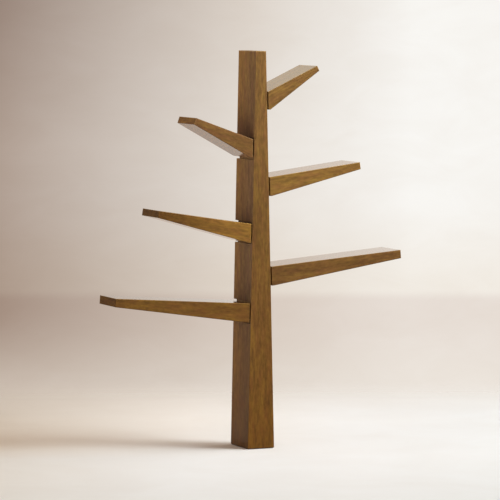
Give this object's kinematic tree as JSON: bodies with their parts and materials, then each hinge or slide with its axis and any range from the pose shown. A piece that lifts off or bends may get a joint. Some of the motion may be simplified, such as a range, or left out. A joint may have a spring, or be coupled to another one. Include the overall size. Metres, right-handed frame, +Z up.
{
  "type": "tree shaped bookshelf",
  "caption": "Free-standing wooden bookshelf shaped like a tree: a tapering trunk with rising, tapering branches on both sides that carry books.",
  "frame": {"origin": "the middle of the foot on the floor, at the pad's underside", "axes": "+Z up the trunk, +X to the right as seen from the front, +Y back towards the wall"},
  "size_m": [1.4057, 0.2, 1.8],
  "materials": {
    "stained_wood": "golden brown stained wood with fine grain and a satin lacquer",
    "inner_wood": "dark stained softwood",
    "steel": "zinc plated",
    "pad": "matt dark sheet"
  },
  "bodies": {
    "root": {"base_pad": "pad", "trunk_front": "stained_wood", "trunk_back": "stained_wood", "trunk_left_side": "stained_wood", "trunk_right_side": "stained_wood", "trunk_top_cap": "stained_wood", "trunk_base_plate": "stained_wood", "wall_plate": "steel", "wall_plate_upper_screw": "steel", "wall_plate_lower_screw": "steel", "lower_left_core_block": "inner_wood", "lower_left_branch_front": "stained_wood", "lower_left_branch_back": "stained_wood", "lower_left_branch_root_block": "stained_wood", "lower_left_branch_tip": "stained_wood", "lower_left_branch_top": "stained_wood", "lower_left_branch_bottom": "stained_wood", "lower_left_bolt": "steel", "lower_right_core_block": "inner_wood", "lower_right_branch_front": "stained_wood", "lower_right_branch_back": "stained_wood", "lower_right_branch_root_block": "stained_wood", "lower_right_branch_tip": "stained_wood", "lower_right_branch_top": "stained_wood", "lower_right_branch_bottom": "stained_wood", "lower_right_bolt": "steel", "middle_left_core_block": "inner_wood", "middle_left_branch_front": "stained_wood", "middle_left_branch_back": "stained_wood", "middle_left_branch_root_block": "stained_wood", "middle_left_branch_tip": "stained_wood", "middle_left_branch_top": "stained_wood", "middle_left_branch_bottom": "stained_wood", "middle_left_bolt": "steel", "middle_right_core_block": "inner_wood", "middle_right_branch_front": "stained_wood", "middle_right_branch_back": "stained_wood", "middle_right_branch_root_block": "stained_wood", "middle_right_branch_tip": "stained_wood", "middle_right_branch_top": "stained_wood", "middle_right_branch_bottom": "stained_wood", "middle_right_bolt": "steel", "upper_left_core_block": "inner_wood", "upper_left_branch_front": "stained_wood", "upper_left_branch_back": "stained_wood", "upper_left_branch_root_block": "stained_wood", "upper_left_branch_tip": "stained_wood", "upper_left_branch_top": "stained_wood", "upper_left_branch_bottom": "stained_wood", "upper_left_bolt": "steel", "upper_right_core_block": "inner_wood", "upper_right_branch_front": "stained_wood", "upper_right_branch_back": "stained_wood", "upper_right_branch_root_block": "stained_wood", "upper_right_branch_tip": "stained_wood", "upper_right_branch_top": "stained_wood", "upper_right_branch_bottom": "stained_wood", "upper_right_bolt": "steel"}
  },
  "joints": []
}
